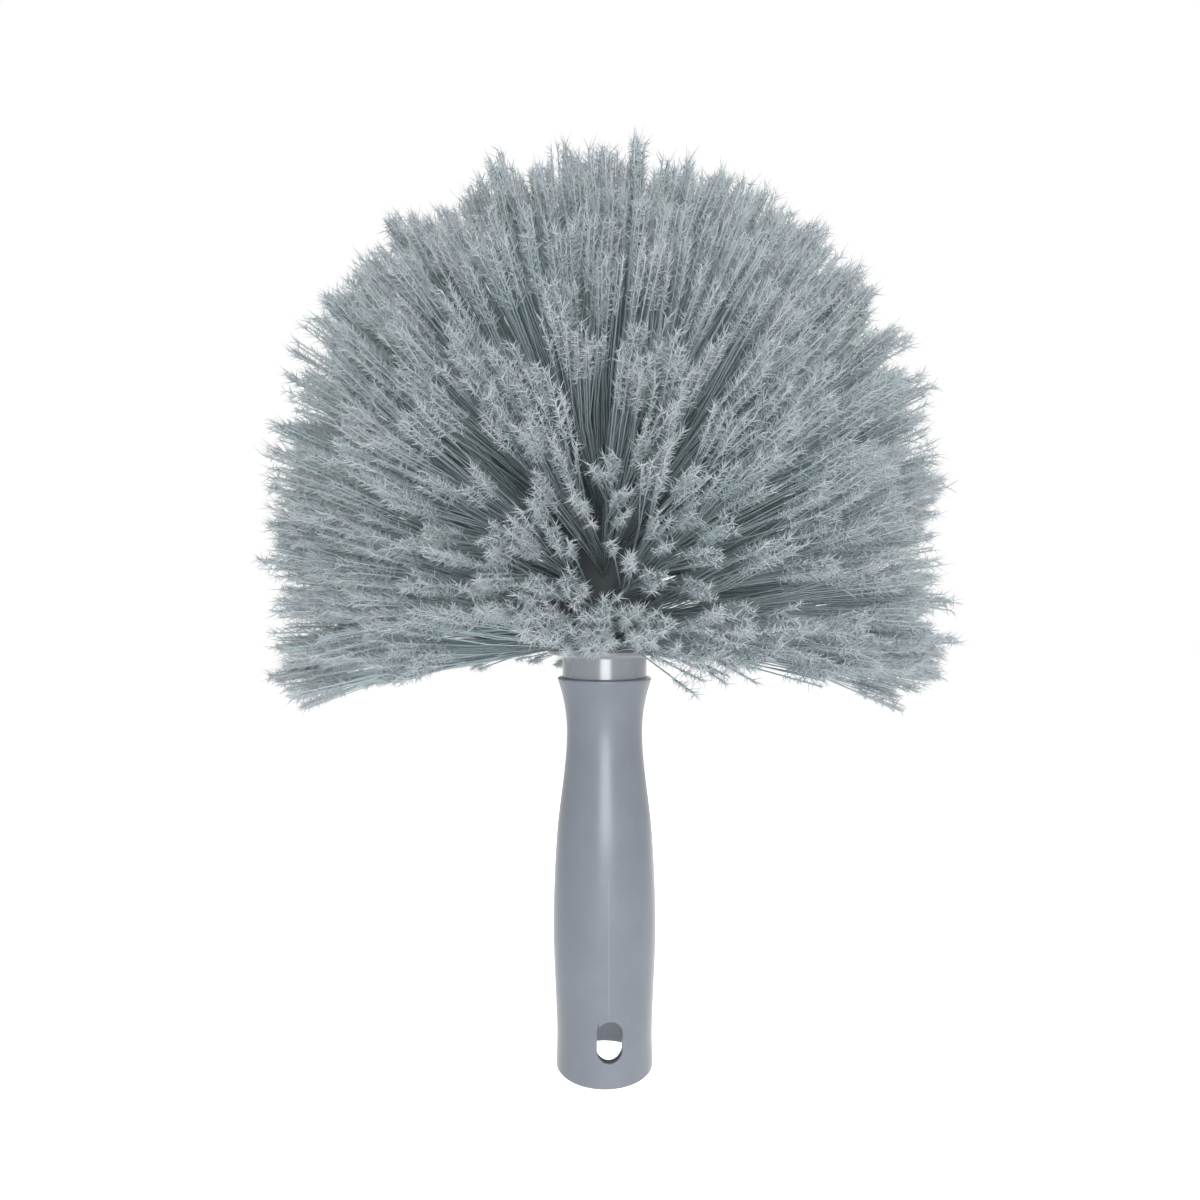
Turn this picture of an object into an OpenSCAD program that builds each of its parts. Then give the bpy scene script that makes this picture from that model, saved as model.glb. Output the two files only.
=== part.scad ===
// Cobweb brush: a round, bullet-shaped head of flagged bristle tufts on a hollow moulded handle.
// Origin at the middle of the handle's open bottom rim, +Z up along the handle, front on the -Y side.

/* [Handle] */
// Length of the handle, from its open bottom rim to its flared lip
handle_length = 128.5; // [122:0.5:150]
// Outside diameter of the bottom rim
rim_d = 32; // [31:0.1:34]
// Outside diameter just above the rim, where the handle is slightly drawn in
foot_d = 31.6; // [31:0.1:34]
// Height of that drawn-in place above the rim
foot_height = 12; // [8:0.5:16]
// Outside diameter at the belly, the widest place of the grip
belly_d = 34; // [32:0.1:38]
// Height of the belly above the rim
belly_height = 46; // [40:0.5:52]
// Outside diameter at the shoulder, where the grip starts to narrow
shoulder_d = 31.8; // [31:0.1:34]
// Height of the shoulder above the rim
shoulder_height = 76; // [70:0.5:82]
// Outside diameter at the waist, the narrowest place
waist_d = 25; // [24:0.1:28]
// Distance of the waist below the lip
waist_drop = 18.5; // [17:0.5:22]
// Outside diameter of the flared lip
lip_d = 31.6; // [31:0.1:34]

/* [Pole socket] */
// Diameter of the straight bore that takes a pole
socket_d = 26; // [22:0.1:26.5]
// Depth of the straight bore
socket_depth = 60; // [45:0.5:66]
// Diameter of the tapered end of the socket, under the web
socket_end_d = 22; // [18:0.1:22.5]
// Width of the round-ended slot in the front wall
slot_w = 8.1; // [5:0.1:10]
// Height of the slot
slot_h = 13.2; // [12:0.1:18]
// Height of the middle of the slot above the rim
slot_height = 14.7; // [12:0.1:24]
// How far the slot is turned from the front of the brush, towards +X
slot_turn = 6; // [0:1:30]

/* [Head joint] */
// Depth of the head's seat, from the lip down to the web
seat_depth = 38.5; // [34:0.5:42]
// Thickness of the web between the seat and the pole socket
web_t = 4; // [3:0.1:6]
// Diameter of the head's spigot
spigot_d = 18.7; // [14:0.1:19]
// Diameter of the neck that shows above the lip
neck_d = 28; // [26:0.1:28.4]
// Height of the cone between the spigot and the neck
cone_h = 11; // [9:0.1:12.5]
// Clearance round the spigot and its cone
seat_clear = 0.15; // [0.1:0.05:0.3]
// Shank diameter of the screw through the web
screw_d = 4; // [3:0.1:5]
// Length of the shank
screw_length = 18; // [12:0.5:24]
// Diameter of the screw's head
screw_head_d = 8; // [7.2:0.1:9]
// Height of the screw's head
screw_head_h = 3; // [2.5:0.1:4]
// Outside diameter of the washer under the head
washer_d = 10; // [9.2:0.1:14]
// Thickness of the washer
washer_t = 1; // [0.8:0.1:2]
// Clearance round the screw
screw_clear = 0.1; // [0.05:0.05:0.2]

/* [Brush block] */
// Height of the neck, from the lip to the underside of the tufted block
neck_rise = 8.9; // [6:0.1:16]
// Diameter of the tufted block
block_d = 38; // [36:0.5:46]
// Height of the band that each side row of tufts takes
row_pitch = 7.2; // [6.8:0.1:9]
// Thickness of the block's skin that the tufts are fused to
skin_t = 1.2; // [0.8:0.1:1.4]
// Clearance between that skin and the rest of the block
skin_clear = 0.1; // [0.05:0.05:0.2]

/* [Tufts] */
// Spacing of the tufts round a row
tuft_pitch = 8.5; // [7.8:0.1:11]
// Diameter of the blind hole that holds a tuft
hole_d = 3.8; // [3:0.1:4]
// Depth of the hole, along the tuft
hole_depth = 7; // [6:0.1:7.5]
// Clearance round a tuft in its hole
tuft_clear = 0.1; // [0.05:0.05:0.2]
// Diameter of the head, over the bristle tips
head_d = 210; // [180:1:240]
// How far the lowest tips reach below the block's underside
skirt_drop = 12; // [0:0.5:16]
// How far the tip of a level bristle droops
tip_droop = 4; // [0:0.5:6]
// How much the bristles differ in length
length_scatter = 2.5; // [0:0.5:4]
// Half width of a strand at its root
strand_root = 0.65; // [0.5:0.05:0.7]
// Half width of a strand at two thirds of its length
strand_mid = 1.6; // [0.8:0.1:2]
// Half width of a strand's frayed tip
strand_flag = 3.2; // [1.6:0.1:3.6]

/* [Staples] */
// Thickness of the wire strip that holds a tuft down
staple_t = 0.4; // [0.3:0.05:0.6]
// Height of the strip
staple_h = 1.8; // [1.2:0.1:2.4]
// Thickness of the fold of bristle under the strip
fold_t = 0.8; // [0.5:0.1:1.2]
// Clearance round the strip
staple_clear = 0.05; // [0.05:0.01:0.1]

/* [Hidden] */

// Extra length of a cutter past the face that it opens
over = 1;
// Steps between two stations of the handle's outline, and in a quarter of the block's dome
outline_steps = 9;
dome_steps = 12;
round_fn = 96;
small_fn = 24;

// Rows of tufts on the block's straight side and on its dome, one node each. The last is the crown tuft
side_rows = 7;
dome_rows = 5;
rows = side_rows + dome_rows;
row_angle = 90 / dome_rows;
// Strands in one tuft, and the corners of a strand's section
side_strands = 3;
dome_strands = 4;
corners = 3;
// Shares of a tuft's cell that its strands spread over at the tips, round the row and up the row
spread_round = 0.37;
spread_up = 0.28;
// Shares of a strand's length at its middle and its widest ring
mid_at = 0.66;
flag_at = 0.93;

// Heights up the brush
web_top = handle_length - seat_depth;
web_bottom = web_top - web_t;
block_base = handle_length + neck_rise;
dome_z = block_base + side_rows * row_pitch;
tips_low = block_base - skirt_drop;
tips_high = dome_z + head_d / 2;

// Diameters of the spigot's seat and of the holes that the screw goes through
seat_d = spigot_d + 2 * seat_clear;
screw_hole_d = screw_d + 2 * screw_clear;

// Direction at an angle in the plane
function along(angle) = [cos(angle), sin(angle)];

// The handle's outline as [diameter, height] and the slope of the diameter at each station
stations = [
    [rim_d, 0], [foot_d, foot_height], [belly_d, belly_height],
    [shoulder_d, shoulder_height], [waist_d, handle_length - waist_drop], [lip_d, handle_length]
];
lip_slope = 0.72;
function station_slope(i) =
    i == 0 ? 0
    : i == len(stations) - 1 ? lip_slope
    : (stations[i + 1][0] - stations[i - 1][0]) / (stations[i + 1][1] - stations[i - 1][1]);

// Smooth curve from one station to the next
function outline_d(i, t) =
    let (a = stations[i], b = stations[i + 1], h = b[1] - a[1])
    a[0] + (b[0] - a[0]) * (3 * t ^ 2 - 2 * t ^ 3)
    + h * station_slope(i) * (t ^ 3 - 2 * t ^ 2 + t)
    + h * station_slope(i + 1) * (t ^ 3 - t ^ 2);
outline = [
    for (i = [0:len(stations) - 2], s = [0:outline_steps - 1])
        let (t = s / outline_steps, h = stations[i + 1][1] - stations[i][1])
        [outline_d(i, t) / 2, stations[i][1] + t * h],
    [lip_d / 2, handle_length]
];

// Where row k, counted from 1 at the bottom, leaves the block's surface
function root_angle(k) = max(0, k - side_rows) * row_angle;
function root_r(k) = block_d / 2 * cos(root_angle(k));
function root_z(k) =
    k <= side_rows ? block_base + (k - 0.5) * row_pitch : dome_z + block_d / 2 * sin(root_angle(k));
function tufts_in(k) = k == rows ? 1 : round(2 * PI * root_r(k) / tuft_pitch);
function tufts_below(k) = k <= 1 ? 0 : tufts_in(k - 1) + tufts_below(k - 1);
tufts_total = tufts_below(rows + 1);

// The tips share the head's surface evenly. A band of a sphere has the area of the same height of
// a cylinder, so equal shares of height are equal shares of surface.
function share_height(n) = n / tufts_total * (tips_high - tips_low);
function tip_z(k) = k == rows ? tips_high : tips_low + share_height(tufts_below(k) + tufts_in(k) / 2);
function tip_r(k) = k == rows ? 0 : sqrt((head_d / 2) ^ 2 - max(0, tip_z(k) - dome_z) ^ 2);
function aim(k) = atan2(tip_z(k) - root_z(k), tip_r(k) - root_r(k));
function reach(k) = norm([tip_r(k) - root_r(k), tip_z(k) - root_z(k)]);

// Width and height of the surface that one tuft's tips cover. The crown's is a round cap
crown_cell = sqrt(head_d * share_height(1) * PI);
function cell_round(k) = k == rows ? crown_cell : 2 * PI * tip_r(k) / tufts_in(k);
function cell_up(k) = k == rows ? crown_cell : share_height(tufts_in(k)) * head_d / 2 / tip_r(k);

// Places the children at every tuft of row k, with +Z along the tuft and 0 at the block's surface
module at_tufts(k) {
    for (i = [0:tufts_in(k) - 1])
        rotate([0, 0, (i + (k % 2) / 2) * 360 / tufts_in(k) - 90])
            translate([root_r(k), 0, root_z(k)])
                rotate([0, 90 - aim(k), 0]) {
                    $tuft = i;
                    children();
                }
}

module handle() {
    color("slategray")
        difference() {
            rotate_extrude($fn = round_fn)
                polygon(concat([[0, 0]], outline, [[0, handle_length]]));
            translate([0, 0, -over])
                cylinder(d = socket_d, h = socket_depth + over, $fn = round_fn);
            translate([0, 0, socket_depth])
                cylinder(d1 = socket_d, d2 = socket_end_d, h = web_bottom - socket_depth, $fn = round_fn);
            translate([0, 0, web_bottom - over])
                cylinder(d = screw_hole_d, h = web_t + 2 * over, $fn = small_fn);
            translate([0, 0, web_top])
                cylinder(d = seat_d, h = seat_depth + over, $fn = round_fn);
            translate([0, 0, handle_length - cone_h])
                cylinder(d1 = seat_d, d2 = neck_d + 2 * seat_clear, h = cone_h, $fn = round_fn);
            pole_slot();
        }
}

// The slot's shape, through the front wall only
module pole_slot() {
    round_offset = (slot_h - slot_w) / 2;
    rotate([0, 0, slot_turn])
        translate([0, 0, slot_height])
            rotate([90, 0, 0])
                linear_extrude(belly_d / 2 + over)
                    union() {
                        for (side = [-1, 1])
                            translate([0, side * round_offset])
                                circle(d = slot_w, $fn = round_fn);
                        square([slot_w, 2 * round_offset], center = true);
                    }
}

// Spigot, cone, neck and the tufted block's core, drilled for the tufts and the screw
module brush_block() {
    core_r = block_d / 2 - skin_t - skin_clear;
    flange_top = block_base - skin_clear;
    color("lightslategray")
        difference() {
            rotate_extrude($fn = round_fn)
                polygon(concat(
                    [
                        [0, web_top], [spigot_d / 2, web_top], [spigot_d / 2, handle_length - cone_h],
                        [neck_d / 2, handle_length], [neck_d / 2, flange_top - skin_t],
                        [block_d / 2, flange_top - skin_t], [block_d / 2, flange_top], [core_r, flange_top]
                    ],
                    [for (s = [0:dome_steps]) [0, dome_z] + core_r * along(90 * s / dome_steps)]
                ));
            translate([0, 0, web_top - over])
                cylinder(d = screw_hole_d, h = screw_length - web_t - washer_t + 2 * over, $fn = small_fn);
            for (k = [1:rows])
                at_tufts(k)
                    translate([0, 0, -hole_depth])
                        cylinder(d = hole_d, h = hole_depth + over, $fn = small_fn);
        }
}

module fixing_screw() {
    head_z = web_bottom - washer_t;
    screw_face_d = screw_head_d - screw_head_h / 2;
    recess_w = screw_d / 4;
    color("silver")
        difference() {
            union() {
                translate([0, 0, head_z])
                    cylinder(d = screw_d, h = screw_length, $fn = small_fn);
                translate([0, 0, head_z - screw_head_h])
                    cylinder(d1 = screw_face_d, d2 = screw_head_d, h = screw_head_h, $fn = small_fn);
            }
            for (turn = [0, 90])
                rotate([0, 0, turn])
                    translate([0, 0, head_z - screw_head_h])
                        cube([screw_head_d / 2, recess_w, screw_head_h], center = true);
        }
}

module fixing_washer() {
    color("gainsboro")
        translate([0, 0, web_bottom - washer_t])
            difference() {
                cylinder(d = washer_d, h = washer_t, $fn = small_fn * 2);
                translate([0, 0, -over])
                    cylinder(d = screw_hole_d, h = washer_t + 2 * over, $fn = small_fn);
            }
}

// One three-cornered bristle strand in its tuft's frame, straight but for its droop and frayed at the tip
module strand(root, tip, length, droop, lean) {
    root_depth = skin_t * 2.5;
    rings = [[-root_depth / length, strand_root], [mid_at, strand_mid], [flag_at, strand_flag]];
    function middle(t) = [
        root[0] + (tip[0] - root[0]) * t + droop * cos(lean) * t ^ 2 * sign(t),
        root[1] + (tip[1] - root[1]) * t,
        length * t - droop * sin(lean) * t ^ 2
    ];
    points = [
        for (ring = rings, c = [0:corners - 1])
            middle(ring[0]) + ring[1] * concat(along(c * 360 / corners), 0),
        middle(1)
    ];
    last = corners * (len(rings) - 1);
    faces = concat(
        [[for (c = [0:corners - 1]) c]],
        [
            for (r = [0:len(rings) - 2], c = [0:corners - 1])
                let (a = corners * r + c, b = corners * r + (c + 1) % corners)
                each [[a, a + corners, b + corners], [a, b + corners, b]]
        ],
        [for (c = [0:corners - 1]) [last + c, len(points) - 1, last + (c + 1) % corners]]
    );
    polyhedron(points, faces);
}

// The skin band that row k's tufts are fused to
module skin_band(k) {
    outer = block_d / 2;
    inner = outer - skin_t;
    low = k == side_rows + 1 ? 0 : root_angle(k) - row_angle / 2;
    high = min(90, root_angle(k) + row_angle / 2);
    angles = [for (s = [0:dome_steps]) low + (high - low) * s / dome_steps];
    rotate_extrude($fn = round_fn)
        if (k <= side_rows)
            translate([inner, root_z(k) - row_pitch / 2])
                square([skin_t, row_pitch]);
        else
            translate([0, dome_z])
                polygon(concat(
                    [for (a = angles) outer * along(a)],
                    [for (s = [dome_steps:-1:0]) inner * along(angles[s])]
                ));
}

// Row k of tufts: strands, the folded root in each hole and the band of skin round them
module tuft_row(k) {
    strands = k <= side_rows ? side_strands : dome_strands;
    root_ring = hole_d / 2 - tuft_clear - strand_root;
    lengths = rands(-length_scatter, length_scatter, tufts_in(k) * strands, k);
    color("lightsteelblue")
        union() {
            skin_band(k);
            at_tufts(k) {
                difference() {
                    translate([0, 0, -hole_depth])
                        cylinder(d = hole_d - 2 * tuft_clear, h = hole_depth - skin_t / 2, $fn = small_fn);
                    translate([0, 0, fold_t - hole_depth])
                        staple_strip(staple_clear, hole_d);
                }
                for (s = [0:strands - 1])
                    let (turn = 180 + (s + 0.5) * 360 / strands)
                    strand(
                        root_ring * along(turn),
                        [cell_up(k) * spread_up * cos(turn), cell_round(k) * spread_round * sin(turn)],
                        reach(k) + lengths[$tuft * strands + s], tip_droop, aim(k)
                    );
            }
        }
}

// The strip that pins a tuft's fold, standing on the fold, with a clearance round it
module staple_strip(clearance, width) {
    translate([-staple_t / 2 - clearance, -width / 2, -clearance])
        cube([staple_t + 2 * clearance, width, staple_h + 2 * clearance]);
}

module staple_row(k) {
    color("dimgray")
        at_tufts(k)
            translate([0, 0, fold_t - hole_depth])
                staple_strip(0, hole_d - 4 * tuft_clear);
}

handle();
brush_block();
fixing_screw();
fixing_washer();
tuft_row(1);  // tuft_row_1
tuft_row(2);  // tuft_row_2
tuft_row(3);  // tuft_row_3
tuft_row(4);  // tuft_row_4
tuft_row(5);  // tuft_row_5
tuft_row(6);  // tuft_row_6
tuft_row(7);  // tuft_row_7
tuft_row(8);  // tuft_row_8
tuft_row(9);  // tuft_row_9
tuft_row(10);  // tuft_row_10
tuft_row(11);  // tuft_row_11
tuft_row(rows);  // crown_tuft
staple_row(1);  // staple_row_1
staple_row(2);  // staple_row_2
staple_row(3);  // staple_row_3
staple_row(4);  // staple_row_4
staple_row(5);  // staple_row_5
staple_row(6);  // staple_row_6
staple_row(7);  // staple_row_7
staple_row(8);  // staple_row_8
staple_row(9);  // staple_row_9
staple_row(10);  // staple_row_10
staple_row(11);  // staple_row_11
staple_row(rows);  // crown_staple
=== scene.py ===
import math
import bmesh
import bpy
from mathutils import Matrix, Vector


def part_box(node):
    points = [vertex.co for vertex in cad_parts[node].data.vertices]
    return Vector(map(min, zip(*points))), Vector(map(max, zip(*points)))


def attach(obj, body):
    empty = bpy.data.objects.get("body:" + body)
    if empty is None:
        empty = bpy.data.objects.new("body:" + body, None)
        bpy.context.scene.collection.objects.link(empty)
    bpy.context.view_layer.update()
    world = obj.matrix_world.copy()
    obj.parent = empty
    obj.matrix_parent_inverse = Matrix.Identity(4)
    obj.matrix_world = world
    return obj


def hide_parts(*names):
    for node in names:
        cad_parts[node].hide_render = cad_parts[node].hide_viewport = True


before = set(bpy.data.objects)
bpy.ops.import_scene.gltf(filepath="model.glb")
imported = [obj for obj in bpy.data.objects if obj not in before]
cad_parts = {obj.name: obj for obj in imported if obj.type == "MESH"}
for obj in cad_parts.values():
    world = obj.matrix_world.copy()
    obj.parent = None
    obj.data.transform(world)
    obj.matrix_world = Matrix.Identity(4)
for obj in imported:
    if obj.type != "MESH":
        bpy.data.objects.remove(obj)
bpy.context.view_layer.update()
mm = 0.001
speck = 0.001 * mm  # points closer than this are one point
creaseAngle = math.radians(35)


class Wire:  # a node's socket, which Python's own operators join to Math and Vector Math nodes
    def __init__(self, graph, socket):
        self.graph = graph
        self.socket = socket

    def part(self, name):  # another output of the same node
        return Wire(self.graph, self.graph.pick(self.socket.node.outputs, name))

    def __add__(self, other):
        return self.graph.maths("ADD", self, other)

    def __radd__(self, other):
        return self.graph.maths("ADD", other, self)

    def __sub__(self, other):
        return self.graph.maths("SUBTRACT", self, other)

    def __rsub__(self, other):
        return self.graph.maths("SUBTRACT", other, self)

    def __mul__(self, other):
        return self.graph.maths("MULTIPLY", self, other)

    def __rmul__(self, other):
        return self.graph.maths("MULTIPLY", other, self)

    def __truediv__(self, other):
        return self.graph.maths("DIVIDE", self, other)

    def __rtruediv__(self, other):
        return self.graph.maths("DIVIDE", other, self)


class Graph:  # a node tree that is built by calls
    def __init__(self, tree):
        self.tree = tree

    def pick(self, sockets, key):
        if isinstance(key, int):
            return sockets[key]
        return next(s for s in sockets if s.name == key and s.enabled)

    def make(self, kind, settings=None, inputs=None, output=0):
        node = self.tree.nodes.new(kind)
        for name, value in (settings or {}).items():
            if name == "stops":
                self.setStops(node.color_ramp, value)
            else:
                setattr(node, name, value)
        for key, value in (inputs or {}).items():
            socket = self.pick(node.inputs, key)
            if isinstance(value, Wire):
                self.tree.links.new(value.socket, socket)
            else:
                socket.default_value = value
        return Wire(self, self.pick(node.outputs, output))

    def setStops(self, ramp, stops):
        while len(ramp.elements) < len(stops):
            ramp.elements.new(1.0)
        for element, (place, colour) in zip(ramp.elements, stops):
            element.position = place
            element.color = (*colour, 1.0)

    def isVector(self, value):
        if isinstance(value, Wire):
            return value.socket.type == "VECTOR"
        return isinstance(value, (tuple, Vector))

    def maths(self, operation, *values):
        vectors = [self.isVector(v) for v in values]
        if not any(vectors):
            return self.make("ShaderNodeMath", {"operation": operation}, dict(enumerate(values)))
        if operation == "MULTIPLY" and not all(vectors):
            vector, number = values if vectors[0] else values[::-1]
            inputs = {0: vector, "Scale": number}
            return self.make("ShaderNodeVectorMath", {"operation": "SCALE"}, inputs)
        return self.make("ShaderNodeVectorMath", {"operation": operation}, dict(enumerate(values)))

    def vector(self, x=0.0, y=0.0, z=0.0):
        return self.make("ShaderNodeCombineXYZ", inputs={0: x, 1: y, 2: z})


def linked(obj):
    bpy.context.scene.collection.objects.link(obj)
    return obj


def rounded(corners, steps=4):  # a profile of (radius, height, fillet) with its corners rounded
    points = []
    for i, (r, z, fillet) in enumerate(corners):
        here = Vector((r, z))
        if not fillet:
            points.append(here)
            continue
        before = (Vector(corners[i - 1][:2]) - here).normalized()
        after = (Vector(corners[(i + 1) % len(corners)][:2]) - here).normalized()
        half = before.angle(after) / 2
        back = fillet / math.tan(half)
        middle = here + (before + after).normalized() * fillet / math.sin(half)
        first = here + before * back - middle
        last = here + after * back - middle
        turn = first.angle_signed(last)
        points += [middle + Matrix.Rotation(-turn * s / steps, 2) @ first for s in range(steps + 1)]
    return points


def latheObject(name, profile, around=160, closed=True):  # turns a profile round Z into one shell
    mesh = bmesh.new()
    rings = []
    for r, z in profile:
        if r < speck:
            rings.append([mesh.verts.new((0, 0, z))] * around)
            continue
        angles = [2 * math.pi * s / around for s in range(around)]
        rings.append([mesh.verts.new((r * math.cos(a), r * math.sin(a), z)) for a in angles])
    pairs = zip(rings, rings[1:] + rings[:1]) if closed else zip(rings, rings[1:])
    for low, high in pairs:
        for s in range(around):
            t = (s + 1) % around
            corners = [low[s], low[t], high[t], high[s]]
            face = list(dict.fromkeys(corners))
            if len(face) > 2:
                mesh.faces.new(face)
    bmesh.ops.recalc_face_normals(mesh, faces=mesh.faces)
    return meshObject(name, mesh)


def meshObject(name, mesh):
    data = bpy.data.meshes.new(name)
    mesh.to_mesh(data)
    mesh.free()
    data.shade_smooth()
    data.set_sharp_from_angle(angle=creaseAngle)
    return linked(bpy.data.objects.new(name, data))


def asPlainMesh(obj):  # applies the object's modifiers to its mesh and takes them off
    bpy.context.view_layer.update()
    evaluated = obj.evaluated_get(bpy.context.evaluated_depsgraph_get())
    data = bpy.data.meshes.new_from_object(evaluated)
    obj.modifiers.clear()
    old = obj.data
    obj.data = data
    data.name = obj.name
    bpy.data.meshes.remove(old)


# Materials

def plainMaterial(name, settings):  # a Principled material with its fixed values set on its own sockets
    material = bpy.data.materials.new(name)
    material.use_nodes = True
    graph = Graph(material.node_tree)
    shader = material.node_tree.nodes["Principled BSDF"]
    for key, value in settings.items():
        shader.inputs[key].default_value = value
    return material, graph, shader


def join(graph, wire, socket):
    graph.tree.links.new(wire.socket, socket)


def noise(graph, place, scale, detail=2.0, rough=0.5):
    return graph.make(
        "ShaderNodeTexNoise", {"noise_dimensions": "3D"},
        {"Vector": place, "Scale": scale, "Detail": detail, "Roughness": rough}, "Fac"
    )


def blendColours(graph, factor, first, second):
    return graph.make(
        "ShaderNodeMix", {"data_type": "RGBA", "blend_type": "MIX"},
        {"Factor": factor, "A": first, "B": second}, "Result"
    )


def between(graph, value, low, high):  # 0 below low, 1 above high and smooth between
    return graph.make(
        "ShaderNodeMapRange", {"interpolation_type": "SMOOTHSTEP"},
        {"Value": value, "From Min": low, "From Max": high}, "Result"
    )


def bumped(graph, height, strength, distance):
    inputs = {"Height": height, "Strength": strength, "Distance": distance}
    return graph.make("ShaderNodeBump", inputs=inputs, output="Normal")


# A texture is given by its scale, its detail and its roughness
plasticFinish = {
    "cloud": (60, 4.0), "cloudFrom": 0.35, "cloudTo": 0.7, "cloudHeight": 0.8, "cloudRoughness": 0.12,
    "grainDetail": 2.0, "grainHeight": 0.6, "bump": 0.5, "coatIor": 1.5,
    "scuff": (900, 3.0, 0.7), "scuffStretch": (1.0, 1.0, 0.18), "scuffFrom": 0.60, "scuffTo": 0.78,
    "scuffColour": 0.35, "scuffRoughness": 0.12,
}
gripFinish = {
    **plasticFinish,
    "colour": (0.236, 0.263, 0.306, 1), "scuffed": (0.310, 0.338, 0.380, 1),
    "dusty": (0.214, 0.239, 0.280, 1), "grain": 1500, "relief": 0.010 * mm,
    "roughness": 0.31, "ior": 1.47, "coat": 0.0, "coatRoughness": 0.2,
    # a flow line down the front: a raised ridge in the bump, lightened in colour as a painted highlight
    "line": 1.3 * mm, "lineHalf": 0.35 * mm, "lineCore": 0.3, "lineFrom": 20 * mm, "lineTo": 72 * mm,
    "lineStart": 6 * mm, "lineFade": 12 * mm, "lineFront": -6 * mm,
    "lineHighlight": 0.45, "lineHeight": 2.5,
}
collarFinish = {
    **plasticFinish,
    "colour": (0.272, 0.291, 0.328, 1), "scuffed": (0.370, 0.390, 0.430, 1),
    "dusty": (0.245, 0.264, 0.300, 1), "grain": 2200, "relief": 0.003 * mm,
    "roughness": 0.24, "ior": 1.50, "coat": 0.5, "coatRoughness": 0.18,
    # painted shade on the block among the tufts: its dark colour, its dulling, its blend and its start
    # above the lowest row
    "core": (0.075, 0.088, 0.095, 1), "coreRoughness": 0.4, "coreEdge": 0.5 * mm, "coreFrom": 14 * mm,
}


# Injection-moulded plastic with a fine orange peel and light scuffs, optionally with a flow line that
# carries a painted highlight, and optionally with painted shade above a height
def moulded(name, finish, flowLineAndHighlight=False, paintedShadeAbove=None):
    material, graph, shader = plainMaterial(name, {
        "IOR": finish["ior"], "Coat Weight": finish["coat"], "Coat Roughness": finish["coatRoughness"],
        "Coat IOR": finish["coatIor"],
    })
    place = graph.make("ShaderNodeTexCoord", output="Object")
    split = graph.make("ShaderNodeSeparateXYZ", inputs={0: place})
    x, y, z = split, split.part("Y"), split.part("Z")
    cloud = noise(graph, place, *finish["cloud"])
    grain = noise(graph, place, finish["grain"], finish["grainDetail"])
    scuffs = noise(graph, place * finish["scuffStretch"], *finish["scuff"])
    scuffs = between(graph, scuffs, finish["scuffFrom"], finish["scuffTo"])
    clouds = between(graph, cloud, finish["cloudFrom"], finish["cloudTo"])
    colour = blendColours(graph, clouds, finish["dusty"], finish["colour"])
    colour = blendColours(graph, scuffs * finish["scuffColour"], colour, finish["scuffed"])
    height = grain * finish["grainHeight"] + cloud * finish["cloudHeight"]
    if flowLineAndHighlight:
        half, top = finish["lineHalf"], finish["lineTo"]
        aside = graph.maths("ABSOLUTE", x - finish["line"])
        near = 1 - between(graph, aside, half * finish["lineCore"], half)
        inside = between(graph, z, finish["lineFrom"], finish["lineFrom"] + finish["lineStart"])
        inside = inside * (1 - between(graph, z, top - finish["lineFade"], top))
        line = near * inside * (1 - between(graph, y, finish["lineFront"], 0.0))
        # the ridge is real relief; its lighter colour, on the front only, is a painted highlight
        colour = blendColours(graph, line * finish["lineHighlight"], colour, finish["scuffed"])
        height = height + line * finish["lineHeight"]
    roughness = finish["roughness"] + (cloud - 0.5) * finish["cloudRoughness"]
    roughness = roughness + scuffs * finish["scuffRoughness"]
    if paintedShadeAbove:  # painted shade: above this height the block among the tufts is coloured dark and made dull, standing in for the shade the bristles cast on it
        inPaintedShade = between(graph, z, paintedShadeAbove, paintedShadeAbove + finish["coreEdge"])
        colour = blendColours(graph, inPaintedShade, colour, finish["core"])
        roughness = roughness + inPaintedShade * finish["coreRoughness"]
        join(graph, (1 - inPaintedShade) * finish["coat"], shader.inputs["Coat Weight"])
    join(graph, colour, shader.inputs["Base Color"])
    join(graph, roughness, shader.inputs["Roughness"])
    join(graph, bumped(graph, height, finish["bump"], finish["relief"]), shader.inputs["Normal"])
    return material


steelFinish = {
    "colour": (0.52, 0.53, 0.55, 1), "dull": (0.36, 0.37, 0.39, 1), "roughness": 0.32, "bump": 0.4,
    "relief": 0.01 * mm, "stain": (180, 2.0), "streaks": (700, 3.0, 0.6),
    "streakStretch": (1.0, 1.0, 8.0), "streakRoughness": 0.2,
}


def brushedSteel(name, finish):
    material, graph, shader = plainMaterial(name, {"Metallic": 1.0})
    place = graph.make("ShaderNodeTexCoord", output="Object")
    streaks = noise(graph, place * finish["streakStretch"], *finish["streaks"])
    stain = noise(graph, place, *finish["stain"])
    colour = blendColours(graph, stain, finish["dull"], finish["colour"])
    join(graph, colour, shader.inputs["Base Color"])
    join(graph, finish["roughness"] + streaks * finish["streakRoughness"], shader.inputs["Roughness"])
    join(graph, bumped(graph, streaks, finish["bump"], finish["relief"]), shader.inputs["Normal"])
    return material


bristleFinish = {
    "map": "OFBake",
    # the tone along a bristle darkens towards the root as painted shade deep among the tufts; the pale
    # split tips are the fibre's own
    "along": [
        (0.0, (0.22, 0.27, 0.28)), (0.45, (0.43, 0.505, 0.525)), (0.84, (0.49, 0.56, 0.58)),
        (0.92, (0.52, 0.57, 0.59)), (1.0, (0.555, 0.595, 0.62)),
    ],
    "cast": [
        (0.0, (0.88, 0.96, 0.94)), (0.2, (1.04, 1.02, 1.05)), (0.4, (0.92, 1.00, 0.99)),
        (0.6, (1.10, 1.10, 1.13)), (0.8, (0.86, 0.92, 0.94)), (1.0, (1.0, 1.04, 1.0)),
    ],
    "roughness": 0.6, "tipRoughness": 0.2, "ior": 1.47, "specular": 0.25,
    "sheen": 0.12, "sheenRoughness": 0.5,
}


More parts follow.
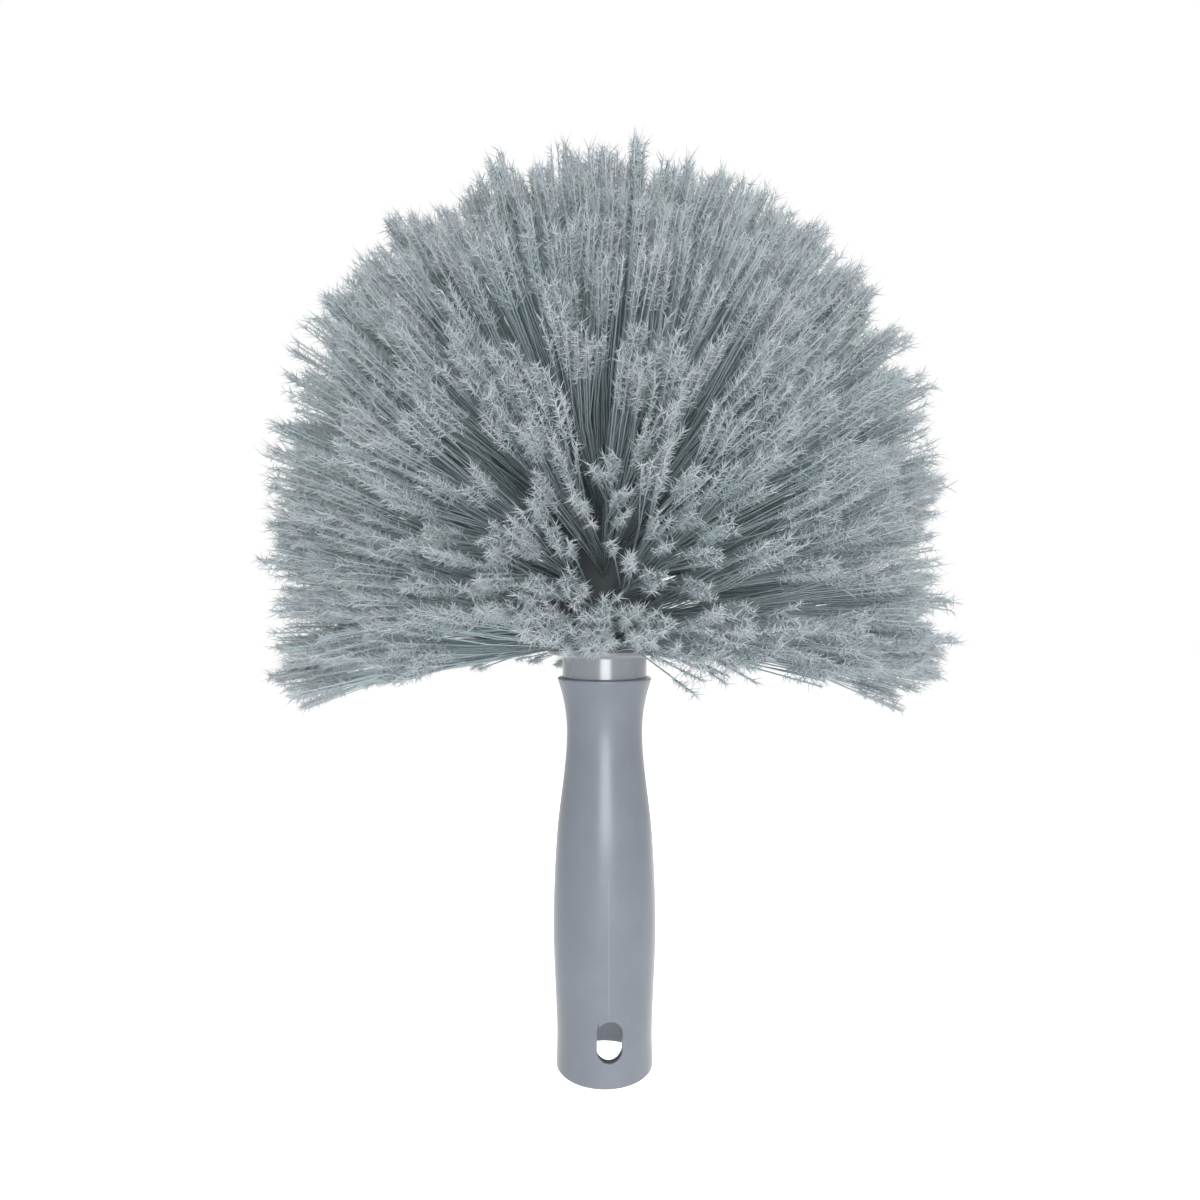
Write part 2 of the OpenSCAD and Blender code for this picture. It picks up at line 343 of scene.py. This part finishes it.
def fibre(name, finish):  # shafts a dull blue green, darkened towards the root as painted shade, split tips pale, each clump with a cast of its own
    material, graph, shader = plainMaterial(name, {
        "IOR": finish["ior"], "Specular IOR Level": finish["specular"], "Sheen Weight": finish["sheen"],
        "Sheen Roughness": finish["sheenRoughness"],
    })
    spot = graph.make("ShaderNodeUVMap", {"uv_map": finish["map"]})
    split = graph.make("ShaderNodeSeparateXYZ", inputs={0: spot})
    tone = graph.make("ShaderNodeValToRGB", {"stops": finish["along"]}, {"Fac": split.part("Y")})
    cast = graph.make("ShaderNodeValToRGB", {"stops": finish["cast"]}, {"Fac": split})
    colour = graph.make(
        "ShaderNodeMix", {"data_type": "RGBA", "blend_type": "MULTIPLY"},
        {"Factor": 1.0, "A": tone, "B": cast}, "Result"
    )
    join(graph, colour, shader.inputs["Base Color"])
    roughness = finish["roughness"] + split.part("Y") * finish["tipRoughness"]
    join(graph, roughness, shader.inputs["Roughness"])
    return material


gripPlastic = moulded("gripPlastic", gripFinish, flowLineAndHighlight=True)
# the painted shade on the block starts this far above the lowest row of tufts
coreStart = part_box("tuft_row_1")[0].z + collarFinish["coreFrom"]
collarPlastic = moulded("collarPlastic", collarFinish, paintedShadeAbove=coreStart)
platedSteel = brushedSteel("platedSteel", steelFinish)
bristleFibre = fibre("bristleFibre", bristleFinish)
print("materials ready")

# Handle

gripShape = {
    "length": 128.5 * mm, "lipSlope": 0.72, "steps": 14,
    # Diameters and heights of the outline
    "stations": [(32, 0), (31.6, 12), (34, 46), (31.8, 76), (25, 110), (31.6, 128.5)],
    "socket": 26 * mm, "socketDepth": 60 * mm, "socketEnd": 22 * mm,
    "webTop": 90 * mm, "web": 4 * mm, "screwHole": 4.2 * mm,
    "seat": 19 * mm, "coneHeight": 11 * mm, "mouth": 28.3 * mm, "mouthEdge": 0.3 * mm, "edge": 0.5 * mm,
    "slot": (8.1 * mm, 13.2 * mm), "slotHeight": 14.7 * mm, "slotTurn": math.radians(6),
    "slotFrom": -30 * mm, "slotTo": -2 * mm, "slotSteps": 24, "slotEdge": 0.4 * mm, "edgeSteps": 3,
    "weld": 0.005 * mm, "near": 0.02 * mm, "sharp": math.radians(40), "crease": math.radians(38),
}


def gripOutline(shape):  # the smooth outline between the stations, from the rim up to the lip
    stations = [(d / 2 * mm, z * mm) for d, z in shape["stations"]]
    slopes = [0.0]
    for low, high in zip(stations, stations[2:]):
        slopes.append((high[0] - low[0]) / (high[1] - low[1]))
    slopes.append(shape["lipSlope"] / 2)
    points = []
    for i, ((r0, z0), (r1, z1)) in enumerate(zip(stations, stations[1:])):
        for s in range(1 if i == 0 else 0, shape["steps"]):
            t = s / shape["steps"]
            r = r0 + (r1 - r0) * (3 * t**2 - 2 * t**3)
            r += (z1 - z0) * (slopes[i] * (t**3 - 2 * t**2 + t) + slopes[i + 1] * (t**3 - t**2))
            points.append((r, z0 + (z1 - z0) * t, 0))
    return points


def gripProfile(shape):
    lipRadius = shape["stations"][-1][0] / 2 * mm
    rimRadius = shape["stations"][0][0] / 2 * mm
    top, edge, webBottom = shape["length"], shape["edge"], shape["webTop"] - shape["web"]
    inside = [
        (lipRadius, top, edge), (shape["mouth"] / 2, top, shape["mouthEdge"]),
        (shape["seat"] / 2, top - shape["coneHeight"], 0), (shape["seat"] / 2, shape["webTop"], 0),
        (shape["screwHole"] / 2, shape["webTop"], 0), (shape["screwHole"] / 2, webBottom, 0),
        (shape["socketEnd"] / 2, webBottom, edge), (shape["socket"] / 2, shape["socketDepth"], 0),
        (shape["socket"] / 2, 0, edge), (rimRadius, 0, edge),
    ]
    return rounded(gripOutline(shape) + inside)


def slotCutter(shape):
    width, height = shape["slot"]
    steps, offset = shape["slotSteps"], (height - width) / 2
    mesh = bmesh.new()
    outline = []
    for side in (1, -1):
        for s in range(steps + 1):
            a = math.pi * s / steps + (0 if side == 1 else math.pi)
            outline.append((width / 2 * math.cos(a), offset * side + width / 2 * math.sin(a)))
    front = [mesh.verts.new((x, shape["slotFrom"], shape["slotHeight"] + z)) for x, z in outline]
    back = [mesh.verts.new((x, shape["slotTo"], shape["slotHeight"] + z)) for x, z in outline]
    mesh.faces.new(front)
    mesh.faces.new(back[::-1])
    for s in range(len(front)):
        t = (s + 1) % len(front)
        mesh.faces.new((front[t], front[s], back[s], back[t]))
    bmesh.ops.recalc_face_normals(mesh, faces=mesh.faces)
    mesh.transform(Matrix.Rotation(shape["slotTurn"], 4, "Z"))
    return meshObject("slotCutter", mesh)


def roundSlotEdges(obj, shape):  # softens the slot's two sharp edges
    width, height = shape["slot"]
    mesh = bmesh.new()
    mesh.from_mesh(obj.data)
    bmesh.ops.remove_doubles(mesh, verts=mesh.verts, dist=shape["weld"])
    back = Matrix.Rotation(-shape["slotTurn"], 4, "Z")

    def onSlot(vertex):
        place = back @ vertex.co
        up = max(0.0, abs(place.z - shape["slotHeight"]) - (height - width) / 2)
        return place.y < 0 and abs(math.hypot(place.x, up) - width / 2) < shape["near"]

    def isSharp(edge):
        return len(edge.link_faces) == 2 and edge.calc_face_angle(0) > shape["sharp"]

    sharp = [e for e in mesh.edges if isSharp(e) and all(onSlot(v) for v in e.verts)]
    edge, steps = shape["slotEdge"], shape["edgeSteps"]
    bmesh.ops.bevel(mesh, geom=sharp, offset=edge, segments=steps, profile=0.5, affect="EDGES")
    mesh.to_mesh(obj.data)
    mesh.free()
    obj.data.shade_smooth()
    obj.data.set_sharp_from_angle(angle=shape["crease"])


def makeGrip(shape):
    grip = latheObject("grip", gripProfile(shape))
    cutter = slotCutter(shape)
    cut = grip.modifiers.new("slot", "BOOLEAN")
    cut.operation = "DIFFERENCE"
    cut.solver = "EXACT"
    cut.object = cutter
    asPlainMesh(grip)
    bpy.data.objects.remove(cutter)
    roundSlotEdges(grip, shape)
    grip.data.materials.clear()
    grip.data.materials.append(gripPlastic)
    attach(grip, "root")
    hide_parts("handle")


makeGrip(gripShape)
print("grip made")

# Brush block

headShape = {
    "neck": 14 * mm, "neckRise": 8.9 * mm, "neckFillet": 0.8 * mm,
    "neckFoot": 0.3 * mm, "neckTop": 1.1 * mm, "flange": 1.3 * mm, "flangeEdge": 0.5 * mm,
    "block": 19 * mm, "domeSteps": 20, "around": 128, "spigot": 9.35 * mm, "spigotEdge": 0.6 * mm,
    "sideRows": 7, "domeRows": 5, "rowPitch": 7.2 * mm, "tuftPitch": 8.5 * mm,
    "hole": 1.5 * mm, "rootDepth": 1.5 * mm, "tips": 105 * mm, "skirtDrop": 12 * mm,
}
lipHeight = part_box("handle")[1].z
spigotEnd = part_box("brush_block")[0].z
blockBase = lipHeight + headShape["neckRise"]
domeHeight = blockBase + headShape["sideRows"] * headShape["rowPitch"]


def makeBlock(shape, grip):
    spigot, neck, radius = shape["spigot"], shape["neck"], shape["block"]
    flangeBase = blockBase - shape["flange"]
    profile = rounded([
        (0, spigotEnd, 0), (spigot, spigotEnd, shape["spigotEdge"]),
        (spigot, lipHeight - grip["coneHeight"], 0), (neck, lipHeight, 0),
        (neck, lipHeight + shape["neckFoot"], 0), (neck, flangeBase - shape["neckTop"], 0),
        (neck, flangeBase, shape["neckFillet"]), (radius, flangeBase, shape["flangeEdge"]),
        (radius, domeHeight, 0),
    ])
    for s in range(1, shape["domeSteps"] + 1):
        a = math.pi / 2 * s / shape["domeSteps"]
        profile.append((radius * math.cos(a), domeHeight + radius * math.sin(a)))
    block = latheObject("block", profile, around=shape["around"], closed=False)
    block.data.materials.append(collarPlastic)
    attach(block, "root")
    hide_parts("brush_block")


makeBlock(headShape, gripShape)
print("block made")

# Bristles

bristleShape = {
    "perTuft": 60, "perClump": 6, "splits": 48, "shaftPoints": 4, "splitPoints": 2, "bow": 4 * mm,
    "shaft": 0.24 * mm, "split": 0.15 * mm, "splitFrom": 0.82, "splitTo": 0.975, "splitRise": 0.016,
    "shaftEnd": 0.97, "shaftTaper": 0.4, "sides": 3, "golden": 2.39996, "tuftWidth": 1.12, "splay": 1.0,
    "clumpRound": 2.9 * mm, "stray": 2.2 * mm, "wander": 3.6 * mm, "bendAt": 0.45, "bendShare": 0.3,
    "uneven": 3.6 * mm, "unevenShare": 0.9, "unevenBack": 0.6, "loose": 1.5 * mm,
    "sag": 2.5 * mm, "sagLeast": 0.3, "sway": 1.6 * mm, "lean": 6 * mm,
    "frizz": 2.2 * mm, "curl": 1.4 * mm,
    # How fast the sway, the lean and the curl vary from one to the next, along it and by row
    "swayNoise": (0.713, 1.6, 3.1), "leanNoise": (0.917, 1.3, 5.3), "curlNoise": (0.617, 2.6),
    "skirt": 3 * mm, "frontLift": 23 * mm,
    "hemPull": 0.88, "hemReach": 12 * mm, "hemWiden": 0.05 / mm, "leastRadius": 0.02,
    "parting": 14 * mm, "partingScale": 38.0, "partingPlace": (0.31, 0.0, 0.12), "partingBack": 0.75,
    "clumpShade": 0.65, "ownShade": 0.35, "splitTone": 0.86, "splitToneFrom": 0.6, "splitToneEnd": 0.04,
    "mapShare": 0.94, "mapCorner": 0.05,
}


def tuftRows(shape):  # where each row leaves the block and where its tips end, as the CAD has them
    rows = shape["sideRows"] + shape["domeRows"]
    step = math.pi / 2 / shape["domeRows"]
    found = []
    for k in range(1, rows + 1):
        angle = max(0, k - shape["sideRows"]) * step
        radius = shape["block"] * math.cos(angle)
        height = blockBase + (k - 0.5) * shape["rowPitch"]
        if k > shape["sideRows"]:
            height = domeHeight + shape["block"] * math.sin(angle)
        tufts = 1 if k == rows else round(2 * math.pi * radius / shape["tuftPitch"])
        found.append({"row": k, "rootRadius": radius, "rootHeight": height, "tufts": tufts})
    low, high = blockBase - shape["skirtDrop"], domeHeight + shape["tips"]
    total, below = sum(row["tufts"] for row in found), 0
    for row in found:
        height = low + (high - low) * (below + row["tufts"] / 2) / total
        if row["row"] == rows:
            height = high
        below += row["tufts"]
        row["tipArc"] = min(height, domeHeight) - low
        tilt = math.asin(min(1.0, max(0.0, height - domeHeight) / shape["tips"]))
        row["tipArc"] += shape["tips"] * tilt
        row["tipRadius"] = shape["tips"] * math.cos(tilt)
        row["tipHeight"] = height
        row["splay"] = math.sqrt(2 * shape["tips"] * (high - low) / total)
        row["turn"] = (row["row"] % 2) / 2 * 2 * math.pi / row["tufts"] - math.pi / 2
    return found


rowInputs = [
    ("Tufts", "INT", 14), ("Bristles In Tuft", "INT", 80), ("Bristles In Clump", "INT", 8),
    ("Splits", "INT", 5), ("First Turn", "FLOAT", 0.0), ("Root Radius", "FLOAT", 0.019),
    ("Root Height", "FLOAT", 0.16),
    ("Tip Radius", "FLOAT", 0.105), ("Tip Height", "FLOAT", 0.17), ("Tip Arc", "FLOAT", 0.03),
    ("Splay", "FLOAT", 0.016), ("Sag", "FLOAT", 0.004), ("Skirt", "FLOAT", 0.003),
    ("Crown", "FLOAT", 0.0), ("Seed", "INT", 1),
]
seedsPerRow = 50


def randomValue(graph, given, low, high, own, seed, kind="FLOAT"):
    inputs = {"Min": low, "Max": high, "ID": own, "Seed": given["Seed"] * seedsPerRow + seed}
    return graph.make("FunctionNodeRandomValue", {"data_type": kind}, inputs, "Value")


def drift(graph, place, scale=1.0):  # smooth random direction that varies with the place
    inputs = {"Vector": place, "Scale": scale, "Detail": 0.0}
    field = graph.make("ShaderNodeTexNoise", {"noise_dimensions": "3D"}, inputs, "Color")
    return field - (0.5, 0.5, 0.5)


# Where bristle `number` is at `along`, from 0 at its root to 1 at its tip
def bristlePath(graph, given, shape, head, number, along):
    def chance(low, high, own, seed):
        return randomValue(graph, given, low, high, own, seed)

    def across(turn, sideways):  # level direction at a turn about the axis, outwards or sideways
        sine, cosine = graph.maths("SINE", turn), graph.maths("COSINE", turn)
        return graph.vector(sine * -1, cosine) if sideways else graph.vector(cosine, sine)

    tuft = graph.maths("FLOOR", number / given["Bristles In Tuft"])
    clump = graph.maths("FLOOR", number / given["Bristles In Clump"])
    clumps = graph.maths("FLOOR", given["Bristles In Tuft"] / given["Bristles In Clump"])
    inTuft = graph.maths("MODULO", clump, clumps)
    turn = given["First Turn"] + tuft * (2 * math.pi) / given["Tufts"]

    # The hole in the block, with the bristle somewhere in it
    outward, sideways = across(turn, False), across(turn, True)
    root = outward * given["Root Radius"] + graph.vector(z=given["Root Height"])
    tipMiddle = outward * given["Tip Radius"] + graph.vector(z=given["Tip Height"])
    aim = graph.make("ShaderNodeVectorMath", {"operation": "NORMALIZE"}, {0: tipMiddle - root})
    over = graph.make("ShaderNodeVectorMath", {"operation": "CROSS_PRODUCT"}, {0: aim, 1: sideways})
    spin = chance(0.0, 2 * math.pi, number, 1)
    off = graph.maths("SQRT", chance(0.0, 1.0, number, 2)) * head["hole"]
    root = root + sideways * (graph.maths("COSINE", spin) * off)
    root = root + over * (graph.maths("SINE", spin) * off)
    root = root - aim * head["rootDepth"]

    # Clumps are laid over the tuft's share of the surface like seeds, with the bristles round each
    golden = inTuft * shape["golden"] + chance(0.0, 2 * math.pi, tuft, 3)
    ring = graph.maths("SQRT", (inTuft + 0.5) / clumps) * given["Splay"]
    ownSpin = chance(0.0, 2 * math.pi, number, 4)
    own = graph.maths("SQRT", chance(0.0, 1.0, number, 5)) * shape["clumpRound"]
    stray, wander = shape["stray"], shape["wander"]
    right = graph.maths("COSINE", golden) * ring * shape["tuftWidth"]
    right = right + graph.maths("COSINE", ownSpin) * own
    right = right + chance(-stray, stray, clump, 6) + chance(-wander, wander, tuft, 13)
    up = graph.maths("SINE", golden) * ring + graph.maths("SINE", ownSpin) * own
    up = up + chance(-stray, stray, clump, 7) + chance(-wander, wander, tuft, 14)

    # The head's surface, as a distance along its outline and a turn about the axis
    side = domeHeight - blockBase + head["skirtDrop"]
    facing = graph.maths("MAXIMUM", graph.maths("SINE", turn) * -1, 0.0)
    arc = given["Tip Arc"] + up
    below = graph.maths("MINIMUM", arc - given["Skirt"] - facing * facing * shape["frontLift"], 0.0)
    arc = arc - below * shape["hemPull"]
    wider = 1 - graph.maths("MAXIMUM", below, -shape["hemReach"]) * shape["hemWiden"]
    sideTurn = turn + right * wider / graph.maths("MAXIMUM", given["Tip Radius"], shape["leastRadius"])
    crownArc = given["Tip Arc"] - graph.maths("SQRT", right * right + up * up)
    arc = arc + (crownArc - arc) * given["Crown"]
    tilt = graph.maths("MAXIMUM", arc - side, 0.0) / head["tips"]
    uneven, loose = shape["uneven"], shape["loose"]
    tall = chance(-uneven, uneven, clump, 8) + chance(-loose, loose, number, 9)
    reach = tall * shape["unevenShare"] + (head["tips"] - uneven * shape["unevenBack"])
    level = graph.maths("COSINE", tilt) * reach
    rise = graph.maths("SINE", tilt) * reach + graph.maths("MINIMUM", arc, side)
    rise = rise + (blockBase - head["skirtDrop"])
    crownTurn = graph.maths("ARCTAN2", up, right)
    tipTurn = sideTurn + (crownTurn - sideTurn) * given["Crown"]
    tip = across(tipTurn, False) * level + graph.vector(z=rise)

    # Neighbours drift together, so the head parts in places and is crowded in others
    push = drift(graph, tip + shape["partingPlace"], shape["partingScale"]) * (shape["parting"] * 2)
    both = {0: push, 1: aim}
    outwards = graph.make("ShaderNodeVectorMath", {"operation": "DOT_PRODUCT"}, both, "Value")
    tip = tip + push - aim * (outwards * shape["partingBack"])

    # It leaves the hole along the tuft and then bends out to its own tip
    ends = {0: tipMiddle, 1: root}
    length = graph.make("ShaderNodeVectorMath", {"operation": "DISTANCE"}, ends, "Value")
    bow = shape["bow"]
    bend = root + aim * (length * shape["bendAt"]) + (tip - tipMiddle) * shape["bendShare"]
    bend = bend + sideways * chance(-bow, bow, clump, 15) + over * chance(-bow, bow, clump, 16)
    left = 1 - along
    path = root * (left * left) + bend * (left * along * 2) + tip * (along * along)
    droop = chance(shape["sagLeast"], 1.0, clump, 10) * given["Sag"] * along * along
    apart, wave, byRow = shape["swayNoise"]
    sway = drift(graph, graph.vector(number * apart, along * wave, given["Seed"] * byRow))
    swayed = sway * (along * shape["sway"] * 2)
    apart, wave, byRow = shape["leanNoise"]
    lean = drift(graph, graph.vector(clump * apart, along * wave, given["Seed"] * byRow))
    swayed = swayed + lean * (along * along * shape["lean"] * 2)
    shade = chance(0.0, 1.0, clump, 11) * shape["clumpShade"]
    shade = shade + chance(0.0, 1.0, number, 12) * shape["ownShade"]
    return path - graph.vector(z=droop) + swayed, shade


def bristleTree(shape, head):  # shafts out of the holes, each ending in a few thin curled splits
    tree = bpy.data.node_groups.new("bristleRow", "GeometryNodeTree")
    graph = Graph(tree)
    kinds = {"INT": "NodeSocketInt", "FLOAT": "NodeSocketFloat"}
    for name, kind, value in rowInputs:
        socket = tree.interface.new_socket(name, in_out="INPUT", socket_type=kinds[kind])
        socket.default_value = value
    tree.interface.new_socket("Material", in_out="INPUT", socket_type="NodeSocketMaterial")
    tree.interface.new_socket("Geometry", in_out="OUTPUT", socket_type="NodeSocketGeometry")
    entry = graph.make("NodeGroupInput")
    given = {name: entry.part(name) for name, kind, value in rowInputs}
    total = given["Tufts"] * given["Bristles In Tuft"]

    branches = []
    for splits in (False, True):
        points = shape["splitPoints"] if splits else shape["shaftPoints"]
        count = total * given["Splits"] if splits else total
        line = graph.make("GeometryNodeCurvePrimitiveLine", inputs={"End": (0, 0, 0.1)})
        line = graph.make("GeometryNodeResampleCurve", inputs={"Curve": line, "Count": points})
        amounts = {"Geometry": line, "Amount": count}
        copies = graph.make("GeometryNodeDuplicateElements", {"domain": "SPLINE"}, amounts)
        copy = copies.part("Duplicate Index")
        step = graph.make("GeometryNodeSplineParameter", output="Factor")
        if splits:
            number = graph.maths("FLOOR", copy / given["Splits"])
            start = randomValue(graph, given, shape["splitFrom"], shape["splitTo"], copy, 21)
            along = start + step * shape["splitRise"]
            path, shade = bristlePath(graph, given, shape, head, number, along)
            aside = randomValue(graph, given, (-1, -1, -1), (1, 1, 1), copy, 22, "FLOAT_VECTOR")
            apart, wave = shape["curlNoise"]
            curl = drift(graph, graph.vector(copy * apart, step * wave, 0.0))
            path = path + aside * (step * shape["frizz"]) + curl * (step * shape["curl"] * 2)
            height = step * shape["splitToneEnd"]
            height = height + (start - shape["splitFrom"]) * shape["splitToneFrom"]
            height = height + shape["splitTone"]
            thickness = (1 - step) * shape["split"]
        else:
            along = step * shape["shaftEnd"]
            path, shade = bristlePath(graph, given, shape, head, copy, along)
            height = along
            thickness = (step * shape["shaftTaper"] + (1 - shape["shaftTaper"])) * shape["shaft"]
        placed = graph.make("GeometryNodeSetPosition", inputs={"Geometry": copies, "Position": path})
        placed = graph.make(
            "GeometryNodeStoreNamedAttribute", {"data_type": "FLOAT_VECTOR", "domain": "POINT"},
            {"Geometry": placed, "Name": "spot", "Value": graph.vector(shade, height)}
        )
        circle = {"Resolution": shape["sides"], "Radius": 1.0}
        section = graph.make("GeometryNodeCurvePrimitiveCircle", {"mode": "RADIUS"}, circle)
        corner = graph.make("GeometryNodeInputIndex")
        section = graph.make(
            "GeometryNodeStoreNamedAttribute", {"data_type": "FLOAT", "domain": "POINT"},
            {"Geometry": section, "Name": "corner", "Value": corner * (1 / shape["sides"])}
        )
        tubes = graph.make(
            "GeometryNodeCurveToMesh",
            inputs={"Curve": placed, "Profile Curve": section, "Scale": thickness, "Fill Caps": True}
        )
        if splits:  # their ends are points
            merged = {"Geometry": tubes, "Distance": speck}
            tubes = graph.make("GeometryNodeMergeByDistance", inputs=merged)
        branches.append(tubes)
    joined = graph.tree.nodes.new("GeometryNodeJoinGeometry")
    for branch in branches:
        graph.tree.links.new(branch.socket, joined.inputs[0])
    joined = Wire(graph, joined.outputs[0])

    # The map of each bristle holds its cast across and its tone up
    named = "GeometryNodeInputNamedAttribute"
    spot = graph.make(named, {"data_type": "FLOAT_VECTOR"}, {"Name": "spot"}, "Attribute")
    corner = graph.make(named, {"data_type": "FLOAT"}, {"Name": "corner"}, "Attribute")
    place = spot * (shape["mapShare"], 1.0, 1.0) + graph.vector(corner * shape["mapCorner"])
    joined = graph.make(
        "GeometryNodeStoreNamedAttribute", {"data_type": "FLOAT2", "domain": "CORNER"},
        {"Geometry": joined, "Name": bristleFinish["map"], "Value": place}
    )
    for name in ("spot", "corner"):
        joined = graph.make("GeometryNodeRemoveAttribute", inputs={"Geometry": joined, "Name": name})
    joined = graph.make("GeometryNodeSetShadeSmooth", inputs={"Geometry": joined, "Shade Smooth": True})
    joined = graph.make("GeometryNodeRealizeInstances", inputs={"Geometry": joined})
    dressed = {"Geometry": joined, "Material": entry.part("Material")}
    joined = graph.make("GeometryNodeSetMaterial", inputs=dressed)
    result = tree.nodes.new("NodeGroupOutput")
    tree.links.new(joined.socket, result.inputs["Geometry"])
    return tree


def growBristles(name, tree, values, material):
    obj = linked(bpy.data.objects.new(name, bpy.data.meshes.new(name)))
    grower = obj.modifiers.new("grow", "NODES")
    grower.node_group = tree
    for item in tree.interface.items_tree:
        if item.in_out == "INPUT" and item.name in values:
            grower[item.identifier] = values[item.name]
        if item.in_out == "INPUT" and item.name == "Material":
            grower[item.identifier] = material
    asPlainMesh(obj)
    return obj


def growHead(shape, head):
    tree = bristleTree(shape, head)
    rows = tuftRows(head)
    for row in rows:
        crown = row is rows[-1]
        name = "crown_tuft" if crown else f"tuft_row_{row['row']}"
        slope = math.atan2(row["tipHeight"] - row["rootHeight"], row["tipRadius"] - row["rootRadius"])
        values = {
            "Tufts": row["tufts"], "Bristles In Tuft": shape["perTuft"],
            "Bristles In Clump": shape["perClump"], "Splits": shape["splits"],
            "First Turn": row["turn"], "Root Radius": row["rootRadius"], "Root Height": row["rootHeight"],
            "Tip Radius": row["tipRadius"], "Tip Height": row["tipHeight"], "Tip Arc": row["tipArc"],
            "Splay": row["splay"] * shape["splay"], "Sag": shape["sag"] * math.cos(slope),
            "Skirt": shape["skirt"], "Crown": 1.0 if crown else 0.0, "Seed": row["row"],
        }
        bristles = growBristles(name + "_bristles", tree, values, bristleFibre)
        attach(bristles, "root")
        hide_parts(name)
        print("bristles", name, len(bristles.data.polygons))
    return tree


bristleRow = growHead(bristleShape, headShape)

# Small groups of bristles that hang loose under the right of the head

looseShape = {
    "bristles": 10, "perClump": 2, "splits": 56, "splay": 3 * mm, "sag": 14 * mm, "rootRise": 2 * mm,
    "noSkirt": -0.1, "seedsFrom": 40,
    "groups": [  # turn, tip radius and tip height
        (-78, 80 * mm, 148 * mm), (-70, 82 * mm, 149 * mm),
        (-61, 85 * mm, 149 * mm), (-54, 89 * mm, 144 * mm),
    ],
}


def makeLooseBristles(shape, tree, head):
    for i, (turn, tipRadius, tipHeight) in enumerate(shape["groups"], 1):
        values = {
            "Tufts": 1, "Bristles In Tuft": shape["bristles"], "Bristles In Clump": shape["perClump"],
            "Splits": shape["splits"], "First Turn": math.radians(turn),
            "Root Radius": head["block"], "Root Height": blockBase + shape["rootRise"],
            "Tip Radius": tipRadius, "Tip Height": tipHeight,
            "Tip Arc": tipHeight - (blockBase - head["skirtDrop"]),
            "Splay": shape["splay"], "Sag": shape["sag"], "Skirt": shape["noSkirt"], "Crown": 0.0,
            "Seed": shape["seedsFrom"] + i,
        }
        loose = growBristles(f"loose_bristles_{i}", tree, values, bristleFibre)
        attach(loose, "root")


makeLooseBristles(looseShape, bristleRow, headShape)
print("loose bristles made")

# Steel pieces keep their CAD shape

for name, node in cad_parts.items():
    if name.startswith(("staple", "crown_staple", "fixing")):
        node.data.materials.clear()
        node.data.materials.append(platedSteel)
print("steel dressed")

# Camera, lamps, floor and background

stageShape = {
    "distance": 276 * mm, "height": 154 * mm, "aside": -1.5 * mm, "focal": 828, "imageWidth": 1200,
    "sensor": 36, "clipStart": 0.01, "ambient": 0.30, "floorHeight": -220 * mm, "floorSize": 8.0,
    "floorRoughness": 0.9, "floorTint": 3.0, "floorGlow": (0.75, 0.75, 0.75, 1),
    "floorColours": ((0.86, 0.86, 0.86, 1), (0.88, 0.88, 0.88, 1)),
    "lamps": [  # name, place, target, size and power
        ("frontSoftbox", (0.05, -0.62, 0.30), (0, 0, 0.16), (0.32, 0.32), 0.6),
        ("lowStrip", (0.05, -1.07, 0.10), (0, 0, 0.1), (0.5, 0.32), 6.0),
        ("topSoftbox", (0.5, -0.1, 1.05), (0, 0, 0.2), (1.0, 1.0), 3.6),
        ("backFill", (0.2, 1.2, 0.6), (0, 0, 0.15), (1.4, 1.0), 17),
    ],
}


def makeCamera(shape):
    data = bpy.data.cameras.new("camera")
    data.sensor_width = shape["sensor"]
    data.lens = shape["sensor"] * shape["focal"] / shape["imageWidth"]
    data.clip_start = shape["clipStart"]
    camera = linked(bpy.data.objects.new("camera", data))
    camera.location = (shape["aside"], -shape["distance"], shape["height"])
    camera.rotation_euler = (math.pi / 2, 0, 0)
    bpy.context.scene.camera = camera


def areaLamp(name, place, target, size, power):
    data = bpy.data.lights.new(name, "AREA")
    data.shape = "RECTANGLE"
    data.size, data.size_y = size
    data.energy = power
    lamp = linked(bpy.data.objects.new(name, data))
    lamp.location = place
    lamp.rotation_euler = (Vector(target) - Vector(place)).to_track_quat("-Z", "Y").to_euler()


def seenDirectly(graph):  # 1 for rays that show the background: straight, in a gloss or through glass
    rays = graph.make("ShaderNodeLightPath")
    shown = graph.maths("MAXIMUM", rays, rays.part("Is Glossy Ray"))
    return graph.maths("MAXIMUM", shown, rays.part("Is Transmission Ray"))


def makeWorld(strength):
    world = bpy.data.worlds.new("studio")
    bpy.context.scene.world = world
    world.use_nodes = True
    graph = Graph(world.node_tree)
    light = world.node_tree.nodes["Background"]
    light.inputs["Color"].default_value = (1, 1, 1, 1)
    join(graph, seenDirectly(graph) * (1 - strength) + strength, light.inputs["Strength"])


def makeFloor(shape):
    half = shape["floorSize"] / 2
    mesh = bmesh.new()
    corners = [(-half, -half), (half, -half), (half, half), (-half, half)]
    mesh.faces.new([mesh.verts.new((x, y, shape["floorHeight"])) for x, y in corners])
    floor = meshObject("floor", mesh)
    settings = {"Roughness": shape["floorRoughness"], "Emission Strength": 1.0}
    material, graph, shader = plainMaterial("paleFloor", settings)
    place = graph.make("ShaderNodeTexCoord", output="Object")
    tint = noise(graph, place, shape["floorTint"])
    join(graph, blendColours(graph, tint, *shape["floorColours"]), shader.inputs["Base Color"])
    glow = blendColours(graph, seenDirectly(graph), (0, 0, 0, 1), shape["floorGlow"])
    join(graph, glow, shader.inputs["Emission Color"])
    floor.data.materials.append(material)


makeCamera(stageShape)
makeWorld(stageShape["ambient"])
makeFloor(stageShape)
for lamp in stageShape["lamps"]:
    areaLamp(*lamp)
bpy.context.scene.view_settings.view_transform = "Standard"
print("stage set")
